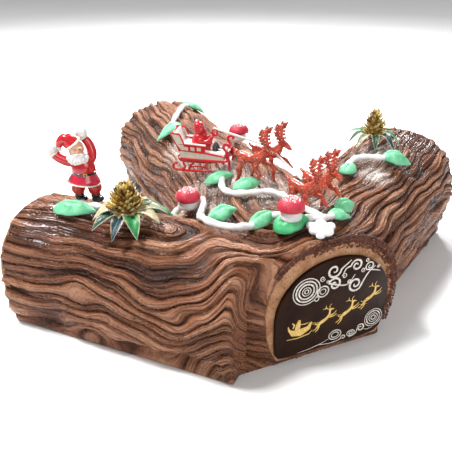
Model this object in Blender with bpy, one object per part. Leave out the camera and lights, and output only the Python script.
"""Yule log cake: three iced rolls pushed together, with a chocolate plaque, and piped and plastic toppings.

Units are metres, +Z is up and the cake stands on Z = 0. The origin is on the trunk's underside,
under its centre line, 120 mm behind the cut front face. The cut face looks towards -Y.
"""
import math
from dataclasses import dataclass

import bmesh
import bpy
from mathutils import Matrix, Vector, noise

CM = 0.01                       # plans and figures below are laid out in centimetres
GAP = 0.0003                    # clearance kept between pieces that touch
LAYER_GAP = 0.0006              # clearance between the layers of a roll, whose facets differ

# ---- driving dimensions of the rolls -------------------------------------------------------
ROLL_WIDTH = 0.103              # trunk, across
ROLL_HEIGHT = 0.087
CENTRE_HEIGHT_SHARE = 0.46      # height of the widest place, as a share of the roll's height
SECTION_POWER = 2.2             # 2 is an ellipse, more is squarer
UNDERSIDE_DEPTH = 1.56          # how far below the centre the section would run if the floor were not there
ICING_THICKNESS = 0.005
SPONGE_THICKNESS = 0.004
ICING_FLOOR = 0.0025            # icing under the roll
SPONGE_FLOOR = 0.002

TRUNK_FRONT_LENGTH = 0.120      # origin to the cut front face
TRUNK_BACK_LENGTH = 0.212       # origin to the back end
TRUNK_HEADING = math.radians(114.2)
LEFT_HEADING = math.radians(156.5)
RIGHT_HEADING = math.radians(55.5)

# ---- bark ridges ---------------------------------------------------------------------------
POINTS_PER_RIDGE = 2
RIDGE_PITCH = 0.0115
RIDGE_HEIGHT = 0.0022
RIDGE_SHARES = (0.0, 1.0)       # height at a ridge's groove and crest
FOOT_BAND = 0.008               # ridges fade out this close to the floor
STATION_PITCH = 0.038
TRUNK_SEED, LEFT_SEED, RIGHT_SEED = 0.0, 4.0, 8.0     # give each roll ridges of its own
OUTLINE_STEPS = 240             # fine points of a section before it is spaced evenly
CUTTER_DEPTH = 0.010            # the limbs' cutter runs this far below the floor
FLOOR_BAND = 0.001              # what of the cutter counts as its underside

# ---- toppings ------------------------------------------------------------------------------
PLAQUE_HALF_WIDTH = 0.0420
PLAQUE_BASE_HALF_WIDTH = 0.0385
PLAQUE_BOTTOM = 0.0062
PLAQUE_WIDEST = 0.0330
PLAQUE_TOP = 0.0725
PLAQUE_THICKNESS = 0.0030
PLAQUE_ARCH_STEPS = 24
PLAQUE_ARCH_POWER = 0.9         # below 1 the shoulders are fuller than an ellipse
MUSHROOM_CAP_RADIUS = 0.0085
MUSHROOM_CAP_HEIGHT = 0.0080
MUSHROOM_STEM_RADIUS = 0.0062
MUSHROOM_STEM_HEIGHT = 0.0055
CAP_UNDERSIDE = 0.10            # height of the cap's hollow over its rim, as a share of the cap's height
BASE_LEAF_RADIUS = 0.0098
BASE_LEAF_HEIGHT = 0.0038
PICK_LEAVES = 8
PICK_LEAF_SPREAD = 0.0245
PICK_LEAF_THICKNESS = 0.0012
PICK_HUB_SHARE = 0.3            # hub radius as a share of the leaves' spread
PICK_HUB_LIFT = 0.0025          # the hub lies this much higher than the leaves' tips
CONE_TIERS = 6
CONE_SCALES = 8                 # scales in one tier
VINE_RADIUS = 0.0023
VINE_PITCH = 0.0055
VINE_SIDES = 7
LEAF_SIDES, LEAF_LEVELS = 10, 2
LEAF_RIM_SHARE = 0.18           # a piped leaf's edge stands this share of its height
BAR_RADIUS = 0.0009
SANTA_FOOT_RADIUS = 0.009       # how much icing each figure needs under it
REINDEER_FOOT_RADIUS = 0.014
SLEIGH_FOOT_RADIUS = 0.018
SURFACE_LIFT = 2 * GAP          # crests of the ridges lie on the plain section

COLOURS = {
    "bark_icing": ((0.235, 0.095, 0.045), 0.45, 0.0),
    "sponge": ((0.110, 0.028, 0.012), 0.85, 0.0),
    "mousse": ((0.520, 0.230, 0.100), 0.75, 0.0),
    "dark_chocolate": ((0.030, 0.012, 0.006), 0.30, 0.0),
    "mint_icing": ((0.300, 0.800, 0.500), 0.50, 0.0),
    "green_icing": ((0.080, 0.520, 0.190), 0.45, 0.0),
    "white_icing": ((0.860, 0.840, 0.820), 0.50, 0.0),
    "red_sugar": ((0.720, 0.030, 0.070), 0.45, 0.0),
    "red_plastic": ((0.620, 0.008, 0.015), 0.22, 0.0),
    "deer_plastic": ((0.560, 0.055, 0.020), 0.28, 0.0),
    "white_plastic": ((0.800, 0.780, 0.740), 0.35, 0.0),
    "gold_foil": ((0.620, 0.380, 0.080), 0.30, 1.0),
    "leaf_fabric": ((0.030, 0.200, 0.090), 0.50, 0.0),
}


# ---- rolls ---------------------------------------------------------------------------------
def bump(position: float, centre: float, reach: float) -> float:
    """A smooth hump of height 1 at centre that is 0 beyond reach."""
    return max(0.0, 1.0 - ((position - centre) / reach) ** 2) ** 2


@dataclass(frozen=True)
class Roll:
    """One roll: where its near end stands, where it heads, and its section along the way."""

    start: tuple
    heading: float
    length: float
    half_width: float
    near_height: float
    far_height: float
    left_fill: float = 0.0
    right_fill: float = 0.0
    fill_centre: float = 0.0
    fill_reach: float = 1.0
    near_cap: float = 0.0

    def along(self) -> Vector:
        return Vector((math.cos(self.heading), math.sin(self.heading)))

    def across(self) -> Vector:
        return Vector((math.sin(self.heading), -math.cos(self.heading)))

    def height(self, station: float) -> float:
        share = min(max(station / self.length, 0.0), 1.0)
        return self.near_height + (self.far_height - self.near_height) * share

    def reach(self, station: float, side: float) -> float:
        """Half width at a station, on the right for side > 0 and on the left for side < 0."""
        fill = self.right_fill if side > 0 else self.left_fill
        return self.half_width + fill * bump(station, self.fill_centre, self.fill_reach)

    def stations(self) -> list:
        """Places along the roll where its icing has a ring."""
        steps = round(self.length / STATION_PITCH)
        return [self.length * step / steps for step in range(steps + 1)]

    def ring_count(self) -> int:
        """Points in one ring of icing."""
        around = 2 * self.half_width + 1.9 * self.near_height
        return round(around / RIDGE_PITCH) * POINTS_PER_RIDGE

    def place(self, station: float, side: float, height: float) -> Vector:
        plan = Vector(self.start) + self.along() * station + self.across() * side
        return Vector((plan.x, plan.y, height))

    def top(self, x: float, y: float) -> float:
        """Height of the smooth icing over a plan point, or 0 outside the roll."""
        offset = Vector((x, y)) - Vector(self.start)
        station = offset.dot(self.along())
        side = offset.dot(self.across())
        reach = self.reach(station, side)
        if not 0.0 <= station <= self.length or abs(side) >= reach:
            return 0.0
        centre = CENTRE_HEIGHT_SHARE * self.height(station)
        rise = (1.0 - (abs(side) / reach) ** SECTION_POWER) ** (1.0 / SECTION_POWER)
        return centre + (self.height(station) - centre) * rise


TRUNK_START = (-TRUNK_FRONT_LENGTH * math.cos(TRUNK_HEADING), -TRUNK_FRONT_LENGTH * math.sin(TRUNK_HEADING))
TRUNK = Roll(TRUNK_START, TRUNK_HEADING, TRUNK_FRONT_LENGTH + TRUNK_BACK_LENGTH, ROLL_WIDTH / 2,
             ROLL_HEIGHT, ROLL_HEIGHT, 0.035, 0.016, 0.074, 0.082)
LEFT_LIMB = Roll((0.0013, -0.1109), LEFT_HEADING, 0.169, 0.0450, 0.084, 0.083, near_cap=0.006)
RIGHT_LIMB = Roll((0.0430, -0.0640), RIGHT_HEADING, 0.175, 0.0500, 0.088, 0.094)
ROLLS = {"trunk": TRUNK, "left_limb": LEFT_LIMB, "right_limb": RIGHT_LIMB}


def icing_top(x: float, y: float) -> float:
    """Height of the smooth icing over a plan point, whichever roll is highest there."""
    return max(roll.top(x, y) for roll in ROLLS.values())


def seat(x: float, y: float, radius: float) -> float:
    """Lowest height at which a flat-bottomed piece of this radius clears the ridges."""
    spots = [(x, y)]
    spots += [(x + radius * math.cos(turn * math.pi / 4), y + radius * math.sin(turn * math.pi / 4))
              for turn in range(8)]
    return max(icing_top(px, py) for px, py in spots) + SURFACE_LIFT


def section(roll: Roll, station: float, inset: float, floor: float, count: int) -> list:
    """Evenly spaced (side, height) points round a roll, inset from its icing, flat on the floor."""
    height = roll.height(station)
    centre = CENTRE_HEIGHT_SHARE * height
    power = 2.0 / SECTION_POWER
    outline = []
    for step in range(OUTLINE_STEPS + 1):
        angle = -math.pi / 2 + 2 * math.pi * step / OUTLINE_STEPS
        cosine, sine = math.cos(angle), math.sin(angle)
        reach = roll.reach(station, cosine) - inset
        rise = height - centre - inset if sine > 0 else UNDERSIDE_DEPTH * centre - inset
        side = reach * math.copysign(abs(cosine) ** power, cosine)
        level = centre + rise * math.copysign(abs(sine) ** power, sine)
        outline.append(Vector((side, max(level, floor))))
    lengths = [0.0]
    for first, second in zip(outline, outline[1:]):
        lengths.append(lengths[-1] + (second - first).length)
    points = []
    cursor = 0
    for index in range(count):
        target = lengths[-1] * index / count
        while lengths[cursor + 1] < target:
            cursor += 1
        share = (target - lengths[cursor]) / max(lengths[cursor + 1] - lengths[cursor], 1e-9)
        points.append(outline[cursor].lerp(outline[cursor + 1], share))
    return points


def ridge_height(index: int, count: int, station: float, seed: float) -> float:
    """How far the bark stands proud at one point of a ring."""
    share = RIDGE_SHARES[index % POINTS_PER_RIDGE]
    ridge = index // POINTS_PER_RIDGE
    wander = noise.noise(Vector((ridge * 0.9, station * 22.0, seed)))
    return RIDGE_HEIGHT * share * min(max(0.72 + 0.5 * wander, 0.2), 1.0)


def bark_ring(roll: Roll, station: float, seed: float, count: int) -> list:
    """World points of one ridged ring of icing."""
    points = section(roll, station, RIDGE_HEIGHT, 0.0, count)
    ring = []
    for index, point in enumerate(points):
        before, after = points[index - 1], points[(index + 1) % count]
        outward = Vector((after.y - before.y, before.x - after.x)).normalized()
        fade = min(max(point.y / FOOT_BAND, 0.0), 1.0)
        proud = ridge_height(index, count, station, seed) * fade
        ring.append(roll.place(station, point.x + outward.x * proud, max(point.y + outward.y * proud, 0.0)))
    return ring


def plain_ring(roll: Roll, station: float, inset: float, floor: float, count: int) -> list:
    """World points of one smooth ring inside the icing, of the roll's plain width."""
    straight = Roll(roll.start, roll.heading, roll.length, roll.half_width, roll.near_height, roll.far_height)
    return [straight.place(station, point.x, point.y)
            for point in section(straight, station, inset, floor, count)]


def skin(bm: bmesh.types.BMesh, first: list, second: list) -> None:
    """Faces between two rings of vertices of the same count."""
    count = len(first)
    for index in range(count):
        after = (index + 1) % count
        bm.faces.new((first[index], first[after], second[after], second[index]))


def loft(name: str, material: str, outer: list, inner: list, blind: bool = False) -> bpy.types.Object:
    """A closed body through outer rings, with a bore through inner rings if there are any.

    A blind bore starts at the first inner ring, behind a solid near end.
    """
    bm = bmesh.new()
    shells = [[[bm.verts.new(point) for point in ring] for ring in rings] for rings in (outer, inner)]
    for rings in shells:
        for first, second in zip(rings, rings[1:]):
            skin(bm, first, second)
    if inner:
        skin(bm, shells[0][-1], shells[1][-1])
    else:
        bm.faces.new(shells[0][-1])
    if inner and not blind:
        skin(bm, shells[0][0], shells[1][0])
    else:
        bm.faces.new(shells[0][0])
    if blind:
        bm.faces.new(shells[1][0])
    bmesh.ops.recalc_face_normals(bm, faces=bm.faces)
    return finish(bm, name, material)


# ---- mesh helpers --------------------------------------------------------------------------
def get_material(name: str) -> bpy.types.Material:
    """The named finish, made the first time it is asked for."""
    found = bpy.data.materials.get(name)
    if found:
        return found
    colour, roughness, metallic = COLOURS[name]
    material = bpy.data.materials.new(name)
    material.use_nodes = True
    shader = material.node_tree.nodes["Principled BSDF"]
    shader.inputs["Base Color"].default_value = (*colour, 1.0)
    shader.inputs["Roughness"].default_value = roughness
    shader.inputs["Metallic"].default_value = metallic
    return material


def finish(bm: bmesh.types.BMesh, name: str, material: str) -> bpy.types.Object:
    """Turn a bmesh into a linked object with one material."""
    mesh = bpy.data.meshes.new(name)
    bm.to_mesh(mesh)
    bm.free()
    mesh.materials.append(get_material(material))
    body = bpy.data.objects.new(name, mesh)
    bpy.context.scene.collection.objects.link(body)
    return body


def ball(centre, radii, level: int) -> bmesh.types.BMesh:
    """A closed ellipsoid."""
    bm = bmesh.new()
    bmesh.ops.create_icosphere(bm, subdivisions=level, radius=1.0)
    bm.transform(Matrix.Translation(centre) @ Matrix.Diagonal((*radii, 1.0)))
    return bm


def rod(start, end, start_radius, end_radius, sides=7) -> bmesh.types.BMesh:
    """A closed round bar or cone between two points."""
    start, end = Vector(start), Vector(end)
    bm = bmesh.new()
    bmesh.ops.create_cone(bm, cap_ends=True, segments=sides, radius1=start_radius, radius2=end_radius,
                          depth=(end - start).length)
    aim = (end - start).to_track_quat("Z", "Y").to_matrix().to_4x4()
    bm.transform(Matrix.Translation((start + end) / 2) @ aim)
    return bm


def slab(centre, size, turn=0.0) -> bmesh.types.BMesh:
    """A closed box, turned about the Y axis."""
    bm = bmesh.new()
    bmesh.ops.create_cube(bm, size=1.0)
    bm.transform(Matrix.Translation(centre) @ Matrix.Rotation(turn, 4, "Y") @ Matrix.Diagonal((*size, 1.0)))
    return bm


def strip(path: list, width: float, thickness: float, y: float) -> bmesh.types.BMesh:
    """A flat closed strip that follows a path in the XZ plane, as wide as `width` along Y."""
    bm = bmesh.new()
    rows = []
    for index, (x, z) in enumerate(path):
        before = Vector(path[max(index - 1, 0)])
        after = Vector(path[min(index + 1, len(path) - 1)])
        side = (after - before).normalized()
        offset = Vector((-side.y, side.x)) * thickness / 2
        rows.append([bm.verts.new((x + offset.x * a, y + width / 2 * b, z + offset.y * a))
                     for a, b in ((1, 1), (1, -1), (-1, -1), (-1, 1))])
    for first, second in zip(rows, rows[1:]):
        skin(bm, first, second)
    bm.faces.new(rows[0])
    bm.faces.new(rows[-1])
    bmesh.ops.recalc_face_normals(bm, faces=bm.faces)
    return bm


def tube(stations: tuple, sides: int = 8, flat: float = 1.0) -> bmesh.types.BMesh:
    """A closed round body along (x, z, radius) stations in centimetres, `flat` times as wide in Y."""
    bm = bmesh.new()
    rows = []
    for index, (x, z, radius) in enumerate(stations):
        before = Vector(stations[max(index - 1, 0)][:2])
        after = Vector(stations[min(index + 1, len(stations) - 1)][:2])
        aim = (after - before).normalized()
        row = []
        for turn in range(sides):
            angle = 2 * math.pi * turn / sides
            lift = radius * math.sin(angle)
            row.append(bm.verts.new((0.01 * (x - aim.y * lift), 0.01 * radius * flat * math.cos(angle),
                                     0.01 * (z + aim.x * lift))))
        rows.append(row)
    for first, second in zip(rows, rows[1:]):
        skin(bm, first, second)
    bm.faces.new(rows[0])
    bm.faces.new(rows[-1])
    bmesh.ops.recalc_face_normals(bm, faces=bm.faces)
    return bm


def fuse(name: str, material: str, shapes: list, frame: Matrix) -> bpy.types.Object:
    """One closed body from overlapping closed shapes, moved to its place."""
    for shape in shapes:
        shape.transform(frame)
    body = finish(shapes[0], name, material)
    for index, shape in enumerate(shapes[1:]):
        tool = finish(shape, f"{name}_shape_{index}", material)
        tool.hide_render = True
        tool.display_type = "WIRE"
        union = body.modifiers.new(f"join_{index}", "BOOLEAN")
        union.operation = "UNION"
        union.object = tool
    return body


def standing(x: float, y: float, height: float, heading: float, lean: float = 0.0) -> Matrix:
    """Frame of a figure: its own +X is the way it faces along the cake."""
    return (Matrix.Translation((x, y, height)) @ Matrix.Rotation(heading, 4, "Z")
            @ Matrix.Rotation(lean, 4, "Y"))


# ---- the cake ------------------------------------------------------------------------------
def trunk_clearance() -> bpy.types.Object:
    """Cutter that trims the limbs where they meet the trunk."""
    rings = []
    for station in TRUNK.stations():
        ring = section(TRUNK, station, -2 * GAP, 0.0, TRUNK.ring_count())
        rings.append([TRUNK.place(station, point.x, point.y - (CUTTER_DEPTH if point.y < FLOOR_BAND else 0.0))
                      for point in ring])
    cutter = loft("trunk_clearance", "bark_icing", rings, [])
    cutter.hide_render = True
    cutter.display_type = "WIRE"
    return cutter


def trim(body: bpy.types.Object, cutter: bpy.types.Object) -> None:
    """Cut one body back from another."""
    cut = body.modifiers.new("trim", "BOOLEAN")
    cut.operation = "DIFFERENCE"
    cut.object = cutter


def add_roll(name: str, roll: Roll, seed: float, cutter) -> None:
    """The icing, the sponge ring and the mousse core of one roll."""
    count = roll.ring_count()
    ends = (roll.near_cap, roll.length)
    blind = roll.near_cap > 0.0
    core_ends = (roll.near_cap + GAP if blind else 0.0, roll.length)
    core_count = count // 2
    ice, sponge = ICING_THICKNESS, ICING_THICKNESS + SPONGE_THICKNESS
    ice_floor, sponge_floor = ICING_FLOOR, ICING_FLOOR + SPONGE_FLOOR
    pieces = (
        loft(f"{name}_icing", "bark_icing", [bark_ring(roll, s, seed, count) for s in roll.stations()],
             [plain_ring(roll, s, ice, ice_floor, count) for s in ends], blind),
        loft(f"{name}_sponge", "sponge",
             [plain_ring(roll, s, ice + LAYER_GAP, ice_floor + LAYER_GAP, core_count) for s in core_ends],
             [plain_ring(roll, s, sponge, sponge_floor, core_count) for s in core_ends]),
        loft(f"{name}_mousse", "mousse",
             [plain_ring(roll, s, sponge + LAYER_GAP, sponge_floor + LAYER_GAP, core_count) for s in core_ends],
             []),
    )
    if cutter:
        for piece in pieces:
            trim(piece, cutter)


def add_plaque() -> None:
    """Arched chocolate plaque that stands against the cut front face."""
    outline = []
    for step in range(PLAQUE_ARCH_STEPS + 1):
        angle = math.pi * step / PLAQUE_ARCH_STEPS
        side = PLAQUE_HALF_WIDTH * math.cos(angle)
        rise = (PLAQUE_TOP - PLAQUE_WIDEST) * math.sin(angle) ** PLAQUE_ARCH_POWER
        outline.append((side, PLAQUE_WIDEST + rise))
    outline.append((-PLAQUE_BASE_HALF_WIDTH, PLAQUE_BOTTOM))
    outline.append((PLAQUE_BASE_HALF_WIDTH, PLAQUE_BOTTOM))
    rings = [[TRUNK.place(station, side, height) for side, height in outline]
             for station in (-GAP, -GAP - PLAQUE_THICKNESS)]
    loft("plaque", "dark_chocolate", rings, [])


# ---- piped icing ---------------------------------------------------------------------------
def drape(x: float, y: float, lift: float) -> Vector:
    """A point over the icing."""
    return Vector((x, y, icing_top(x, y) + SURFACE_LIFT + lift))


def add_blob(name: str, material: str, x: float, y: float, length: float, width: float,
             height: float, heading: float, point: float = 0.35) -> None:
    """A piped leaf: a low rounded blob with one end drawn to a point, lying on the icing."""
    bm = bmesh.new()
    rings = []
    for side in (1, -1):
        for level in range(1, LEAF_LEVELS + 1):
            share = level / LEAF_LEVELS
            ring = []
            for turn in range(LEAF_SIDES):
                angle = 2 * math.pi * turn / LEAF_SIDES
                stretch = 1.0 + point * max(math.cos(angle), 0.0) ** 6
                px = share * length / 2 * stretch * math.cos(angle)
                py = share * width / 2 * math.sin(angle)
                dome = height * math.sqrt(max(1.0 - share ** 2, 0.0)) * (1 if side > 0 else 0)
                rim = height * LEAF_RIM_SHARE if side > 0 else 0.0
                wx = x + px * math.cos(heading) - py * math.sin(heading)
                wy = y + px * math.sin(heading) + py * math.cos(heading)
                ring.append(bm.verts.new(drape(wx, wy, dome + rim)))
            rings.append(ring)
    top, bottom = rings[:LEAF_LEVELS], rings[LEAF_LEVELS:]
    for stack, lift in ((top, height * (1.0 + LEAF_RIM_SHARE)), (bottom, 0.0)):
        centre = bm.verts.new(drape(x, y, lift))
        for turn in range(LEAF_SIDES):
            bm.faces.new((centre, stack[0][turn], stack[0][(turn + 1) % LEAF_SIDES]))
        for first, second in zip(stack, stack[1:]):
            skin(bm, first, second)
    skin(bm, top[-1], bottom[-1])
    bmesh.ops.recalc_face_normals(bm, faces=bm.faces)
    finish(bm, name, material)


def smooth_route(points: list, pitch: float) -> list:
    """Evenly spaced points on a smooth curve through plan points."""
    ends = [points[0]] + points + [points[-1]]
    dense = []
    for index in range(len(points) - 1):
        a, b, c, d = (Vector(ends[index + k]) for k in range(4))
        for step in range(8):
            t = step / 8
            dense.append(0.5 * (2 * b + (c - a) * t + (2 * a - 5 * b + 4 * c - d) * t ** 2
                                + (3 * b - a - 3 * c + d) * t ** 3))
    dense.append(Vector(points[-1]))
    route = [dense[0]]
    for point in dense[1:]:
        if (point - route[-1]).length >= pitch:
            route.append(point)
    return route


def add_vine(name: str, points: list) -> None:
    """A piped white string that follows the icing."""
    route = smooth_route([(x * CM, y * CM) for x, y in points], VINE_PITCH)
    rings = []
    for index, point in enumerate(route):
        before, after = route[max(index - 1, 0)], route[min(index + 1, len(route) - 1)]
        heading = (after - before).normalized()
        side = Vector((heading.y, -heading.x))
        ends = index in (0, len(route) - 1)
        radius = VINE_RADIUS * (0.55 if ends else 1.0 + 0.12 * math.sin(index * 1.7))
        edges = (point + side * radius, point - side * radius)
        level = max(icing_top(p.x, p.y) for p in (point, *edges)) + SURFACE_LIFT + radius
        ring = []
        for turn in range(VINE_SIDES):
            angle = 2 * math.pi * turn / VINE_SIDES
            offset = side * radius * math.cos(angle)
            ring.append(Vector((point.x + offset.x, point.y + offset.y, level + radius * math.sin(angle))))
        rings.append(ring)
    loft(name, "white_icing", rings, [])


def add_mushroom(name: str, x: float, y: float, lift: float) -> None:
    """A sugar mushroom: a turned stem and a domed cap with a curled rim."""
    base = seat(x, y, MUSHROOM_STEM_RADIUS) + lift
    stem_profile = ((0.0, 0.0), (1.0, 0.0), (1.06, 0.25), (0.92, 0.6), (0.9, 1.0), (0.0, 1.0))
    cap_profile = ((0.0, CAP_UNDERSIDE), (0.72, CAP_UNDERSIDE), (0.92, 0.0), (1.0, 0.22), (0.93, 0.52),
                   (0.72, 0.80), (0.40, 0.96), (0.0, 1.0))
    turned(f"{name}_stem", "white_icing", stem_profile, MUSHROOM_STEM_RADIUS, MUSHROOM_STEM_HEIGHT,
           Vector((x, y, base)), 11)
    cap_base = base + MUSHROOM_STEM_HEIGHT + GAP - CAP_UNDERSIDE * MUSHROOM_CAP_HEIGHT
    turned(f"{name}_cap", "red_sugar", cap_profile, MUSHROOM_CAP_RADIUS, MUSHROOM_CAP_HEIGHT,
           Vector((x, y, cap_base)), 13)


def turned(name: str, material: str, profile: tuple, radius: float, height: float,
           place: Vector, steps: int) -> bpy.types.Object:
    """A closed turned body from (radius, height) shares."""
    bm = bmesh.new()
    points = [bm.verts.new((r * radius, 0.0, z * height)) for r, z in profile]
    edges = [bm.edges.new(pair) for pair in zip(points, points[1:])]
    bmesh.ops.spin(bm, geom=points + edges, cent=(0, 0, 0), axis=(0, 0, 1), angle=2 * math.pi,
                   steps=steps, use_merge=True)
    bmesh.ops.remove_doubles(bm, verts=bm.verts, dist=1e-6)
    bmesh.ops.recalc_face_normals(bm, faces=bm.faces)
    bm.transform(Matrix.Translation(place))
    return finish(bm, name, material)


# ---- picks ---------------------------------------------------------------------------------
def add_pick(name: str, x: float, y: float, cone_radius: float, cone_height: float,
             start_angle: float) -> None:
    """A gold cone on a rosette of pointed leaves that lie over the icing."""
    bm = bmesh.new()
    outline = (1.0, 0.62, 0.40, 0.62)       # tip, flank, notch and flank of one leaf
    corners = PICK_LEAVES * len(outline)
    layers = []
    for lift in (PICK_LEAF_THICKNESS, 0.0):
        centre = bm.verts.new(drape(x, y, lift + PICK_HUB_LIFT))
        hub, outer = [], []
        for index in range(corners):
            angle = start_angle + 2 * math.pi * index / corners
            aim = Vector((math.cos(angle), math.sin(angle))) * PICK_LEAF_SPREAD
            share = outline[index % len(outline)] * (1.0 + 0.08 * math.sin(index // len(outline) * 2.3))
            slant = PICK_HUB_LIFT * (1.0 - share * 0.6)
            inner = aim * PICK_HUB_SHARE
            hub.append(bm.verts.new(drape(x + inner.x, y + inner.y, lift + PICK_HUB_LIFT)))
            outer.append(bm.verts.new(drape(x + aim.x * share, y + aim.y * share, lift + slant)))
        for index in range(corners):
            bm.faces.new((centre, hub[index], hub[(index + 1) % corners]))
        skin(bm, hub, outer)
        layers.append(outer)
    skin(bm, layers[0], layers[1])
    bmesh.ops.recalc_face_normals(bm, faces=bm.faces)
    finish(bm, f"{name}_leaves", "leaf_fabric")
    add_cone(f"{name}_cone", x, y, cone_radius, cone_height)


def add_cone(name: str, x: float, y: float, radius: float, height: float) -> None:
    """A pine cone whose scales stand out in staggered tiers."""
    base = seat(x, y, radius * 0.5) + PICK_HUB_LIFT + PICK_LEAF_THICKNESS + 2 * GAP
    rings = []
    for tier in range(CONE_TIERS + 1):
        share = tier / CONE_TIERS
        body = radius * (0.50 + 0.30 * math.sin(math.pi * (0.25 + 0.70 * share))) * (1.0 - 0.62 * share ** 3)
        ring = []
        for index in range(CONE_SCALES * 2):
            angle = math.pi * (index + tier % 2) / CONE_SCALES
            out = 1.32 if (index + tier) % 2 == 0 else 0.80
            out = 1.0 + (out - 1.0) * (0.35 if tier in (0, CONE_TIERS) else 1.0)
            ring.append(Vector((x + body * out * math.cos(angle), y + body * out * math.sin(angle),
                                base + height * share)))
        rings.append(ring)
    loft(name, "gold_foil", rings, [])


# ---- figures -------------------------------------------------------------------------------
def add_santa(x: float, y: float, heading: float) -> None:
    """The standing figure: boots, coat with a flared hem, beard, hat and two raised mittens."""
    trunk = ((0.02, 1.10, 1.08), (0.0, 1.42, 1.06), (-0.04, 2.20, 0.72), (-0.06, 2.85, 0.70),
             (-0.22, 3.12, 0.50), (-0.32, 3.45, 0.64), (-0.42, 3.95, 0.66), (-0.66, 4.35, 0.50),
             (-0.78, 4.55, 0.22))
    balls = (
        ((-0.62, 0.10, 0.42), (0.36, 0.48, 0.42)), ((0.62, 0.05, 0.42), (0.40, 0.55, 0.42)),
        ((-0.30, -0.33, 3.25), (0.86, 0.50, 0.60)),
        ((-1.95, -0.05, 3.75), (0.42, 0.36, 0.44)), ((0.10, 0.35, 4.72), (0.42, 0.34, 0.44)),
    )
    rods = (
        ((-0.50, 0.08, 0.35), (-0.35, 0.0, 1.5), 0.36, 0.45),
        ((0.58, 0.05, 0.35), (0.40, 0.0, 1.5), 0.40, 0.48),
        ((-0.45, 0.0, 2.75), (-1.85, -0.05, 3.55), 0.38, 0.30),
        ((0.45, 0.10, 2.75), (0.12, 0.35, 4.50), 0.36, 0.28),
    )
    shapes = [tube(trunk, 10, 0.80)]
    shapes += [rod(Vector(a) * CM, Vector(b) * CM, c * CM, d * CM, 7) for a, b, c, d in rods]
    shapes += [ball(Vector(c) * CM, Vector(r) * CM, 2 if r[0] > 0.6 else 1) for c, r in balls]
    fuse("santa_figure", "red_plastic", shapes, standing(x, y, seat(x, y, SANTA_FOOT_RADIUS), heading))


def add_reindeer(name: str, x: float, y: float, heading: float) -> None:
    """A leaping reindeer: body, neck, head, four legs and branched antlers."""
    spine = ((-1.80, 2.85, 0.08), (-1.45, 2.62, 0.26), (-1.20, 2.42, 0.52), (-0.40, 2.28, 0.60),
             (0.50, 2.35, 0.62), (0.98, 2.66, 0.50), (1.26, 3.10, 0.33), (1.55, 3.42, 0.31),
             (1.90, 3.28, 0.25), (2.22, 3.08, 0.15))
    shapes = [tube(spine, 8, 0.85)]
    for side in (-1, 1):
        hip = side * 0.33
        legs = (((0.80, hip, 2.20), (1.75, hip, 0.75)), ((-0.95, hip, 2.25), (-1.30, hip, 0.03)))
        for a, b in legs:
            shapes.append(rod(Vector(a) * CM, Vector(b) * CM, 0.27 * CM, 0.14 * CM, 6))
        beams = (((1.56, side * 0.10, 3.42), (1.17, side * 0.45, 4.60), 0.11),
                 ((1.31, side * 0.31, 3.90), (1.79, side * 0.47, 4.37), 0.085))
        for a, b, thick in beams:
            shapes.append(rod(Vector(a) * CM, Vector(b) * CM, thick * CM, 0.07 * CM, 5))
    fuse(name, "deer_plastic", shapes, standing(x, y, seat(x, y, REINDEER_FOOT_RADIUS), heading))


def add_sleigh(x: float, y: float, heading: float) -> None:
    """A sleigh with a high back, low sides, a curled front and two runners."""
    half_width = 0.0095
    base = seat(x, y, SLEIGH_FOOT_RADIUS)
    shapes = [slab((-0.001, 0, 0.0095), (0.036, 2 * half_width - 0.0004, 0.003))]
    for side in (-1, 1):
        wall = side * (half_width - 0.0008)
        runner = [(-0.022, 0.0040), (-0.021, 0.0014), (-0.016, 0.0010), (0.000, 0.0010), (0.0055, 0.0026),
                  (0.0085, 0.0085)]
        shapes.append(strip(runner, 0.0016, 0.0016, wall))
        for post in (-0.013, -0.002):
            shapes.append(rod((post, wall, 0.0012), (post + 0.002, wall, 0.0098), 0.0008, 0.0008, 6))
        shapes.append(slab((-0.004, wall, 0.0132), (0.028, 0.0018, 0.0062)))
        shapes.append(slab((-0.0185, wall, 0.0195), (0.0105, 0.0020, 0.0160), -0.25))
    shapes.append(slab((-0.0207, 0, 0.0188), (0.0018, 2 * half_width - 0.0010, 0.0187), -0.27))
    front = [(0.0153, 0.0091), (0.0205, 0.0105), (0.0225, 0.0145), (0.0195, 0.0195), (0.0165, 0.0185)]
    shapes.append(strip(front, 2 * half_width - 0.0013, 0.0018, 0.0))
    fuse("sleigh", "red_plastic", shapes, standing(x, y, base, heading))
    driver = [tube(((-0.20, 1.20, 0.56), (-0.22, 1.70, 0.62), (-0.25, 2.30, 0.50), (-0.28, 2.58, 0.34),
                    (-0.28, 2.95, 0.48), (-0.33, 3.25, 0.42), (-0.50, 3.62, 0.18)), 9, 0.95)]
    for side in (-1, 1):
        hip = side * 0.30
        limbs = (((-0.1, hip * 0.9, 1.50), (0.80, hip, 1.62), 0.25, 0.22, 7),
                 ((0.68, hip * 1.03, 1.80), (1.02, hip, 1.26), 0.23, 0.19, 6),
                 ((-0.2, hip * 1.3, 2.33), (0.67, hip * 1.2, 2.47), 0.21, 0.15, 7))
        for start, end, thick, thin, sides in limbs:
            driver.append(rod(Vector(start) * CM, Vector(end) * CM, thick * CM, thin * CM, sides))
    fuse("sleigh_driver", "red_plastic", driver, standing(x, y, base, heading))


def add_bar(name: str, start, end) -> None:
    """One white harness bar."""
    body = finish(rod(start, end, BAR_RADIUS, BAR_RADIUS, 6), name, "white_plastic")
    body.data.shade_smooth()


def add_base_leaf(name: str, x: float, y: float) -> None:
    """The flat green pad of icing that carries the front mushroom."""
    profile = ((0.0, 0.0), (1.0, 0.0), (1.08, 0.5), (0.95, 1.0), (0.0, 1.0))
    turned(name, "green_icing", profile, BASE_LEAF_RADIUS, BASE_LEAF_HEIGHT,
           Vector((x, y, seat(x, y, BASE_LEAF_RADIUS))), 13)


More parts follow.
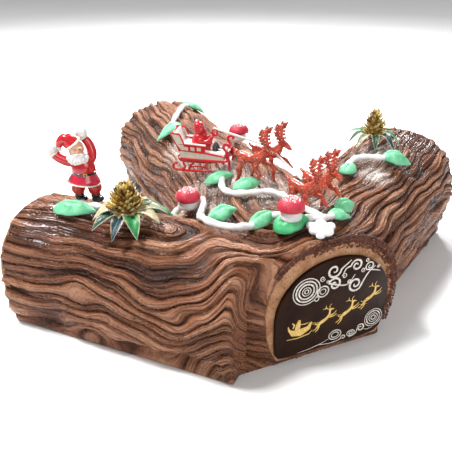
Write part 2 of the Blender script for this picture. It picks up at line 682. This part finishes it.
# ---- layout of the toppings: plan places are in centimetres ---------------------------------
BLOBS = (
    # x, y, length, width, height, heading in degrees
    (-7.20, -4.75, 2.0, 1.1, 0.42, 10), (-5.30, 17.60, 2.1, 1.2, 0.45, 5), (-7.00, 9.80, 2.1, 1.3, 0.45, 40),
    (-2.55, -1.75, 1.6, 1.1, 0.42, 10), (-0.55, -3.60, 1.7, 1.1, 0.45, 20), (-2.30, -7.10, 1.6, 1.1, 0.50, 0),
    (0.35, -8.60, 1.6, 1.0, 0.45, 35), (5.95, -6.95, 1.3, 0.9, 0.42, 40), (5.25, -8.30, 1.3, 0.8, 0.36, 15),
    (7.20, -1.60, 1.2, 1.0, 0.42, 60), (11.10, 0.80, 1.9, 1.1, 0.50, 0), (-12.20, -6.75, 2.4, 0.9, 0.50, -12),
)
VINES = (
    ((-11.30, -5.80), (-10.80, -6.20), (-10.30, -6.75)),
    ((-5.50, -4.15), (-5.20, -3.90), (-4.80, -3.75)),
    ((-3.35, -4.60), (-3.45, -6.00), (-3.40, -8.00), (-2.50, -9.20), (-1.40, -9.50), (-0.85, -9.25)),
    ((-2.05, -2.75), (-1.95, -3.80), (-1.40, -4.75), (0.00, -4.90), (1.00, -4.85), (1.85, -5.30)),
    ((4.10, -8.35), (4.10, -9.00), (3.65, -9.40)),
    ((7.60, -0.40), (8.10, 0.50), (9.00, 0.70), (9.80, 0.55)),
    ((-6.20, 16.60), (-6.40, 14.00), (-6.70, 11.20)),
)
DOLLOP = (4.00, -10.20)
MUSHROOMS = ((2.20, -9.40, True), (-4.45, -5.05, False), (-0.70, 6.90, False))      # x, y, on a leaf
# x, y, cone radius, cone height, angle of the first leaf
PICKS = {"pick_front": (-8.10, -8.40, 1.32, 2.10, 0.2), "pick_back": (10.20, 3.80, 1.02, 2.50, 0.0)}
SANTA = (-11.25, -5.45, 8)      # x, y, heading in degrees
SLEIGH = (-3.45, -0.15, -10)
# ends of the harness bars, x, y, z
BARS = (((-2.70, 0.20, 11.70), (1.02, -1.70, 11.05)), ((1.75, -2.40, 10.65), (3.36, -5.10, 9.80)))
REINDEER = ((0.35, -2.45, -33), (1.45, -1.25, -33), (3.45, -6.85, -48), (4.65, -5.75, -48))


def build() -> None:
    """Make every piece of the cake."""
    for leftover in list(bpy.data.objects):
        bpy.data.objects.remove(leftover, do_unlink=True)
    cutter = trunk_clearance()
    add_roll("trunk", TRUNK, TRUNK_SEED, None)
    add_roll("left_limb", LEFT_LIMB, LEFT_SEED, cutter)
    add_roll("right_limb", RIGHT_LIMB, RIGHT_SEED, cutter)
    add_plaque()
    for index, (x, y, length, width, height, heading) in enumerate(BLOBS):
        add_blob(f"icing_leaf_{index + 1}", "mint_icing", x * CM, y * CM, length * CM, width * CM,
                 height * CM, math.radians(heading))
    for index, points in enumerate(VINES):
        add_vine(f"icing_string_{index + 1}", points)
    add_blob("icing_dollop", "white_icing", DOLLOP[0] * CM, DOLLOP[1] * CM, 0.013, 0.010, 0.006, 0.6, 0.1)
    for index, (x, y, on_leaf) in enumerate(MUSHROOMS):
        if on_leaf:
            add_base_leaf("mushroom_base_leaf", x * CM, y * CM)
        add_mushroom(f"mushroom_{index + 1}", x * CM, y * CM, BASE_LEAF_HEIGHT + GAP if on_leaf else 0.0)
    for name, (x, y, radius, height, angle) in PICKS.items():
        add_pick(name, x * CM, y * CM, radius * CM, height * CM, angle)
    add_santa(SANTA[0] * CM, SANTA[1] * CM, math.radians(SANTA[2]))
    add_sleigh(SLEIGH[0] * CM, SLEIGH[1] * CM, math.radians(SLEIGH[2]))
    for index, (x, y, heading) in enumerate(REINDEER):
        add_reindeer(f"reindeer_{index + 1}", x * CM, y * CM, math.radians(heading))
    for index, (start, end) in enumerate(BARS):
        add_bar(f"harness_bar_{index + 1}", Vector(start) * CM, Vector(end) * CM)


build()
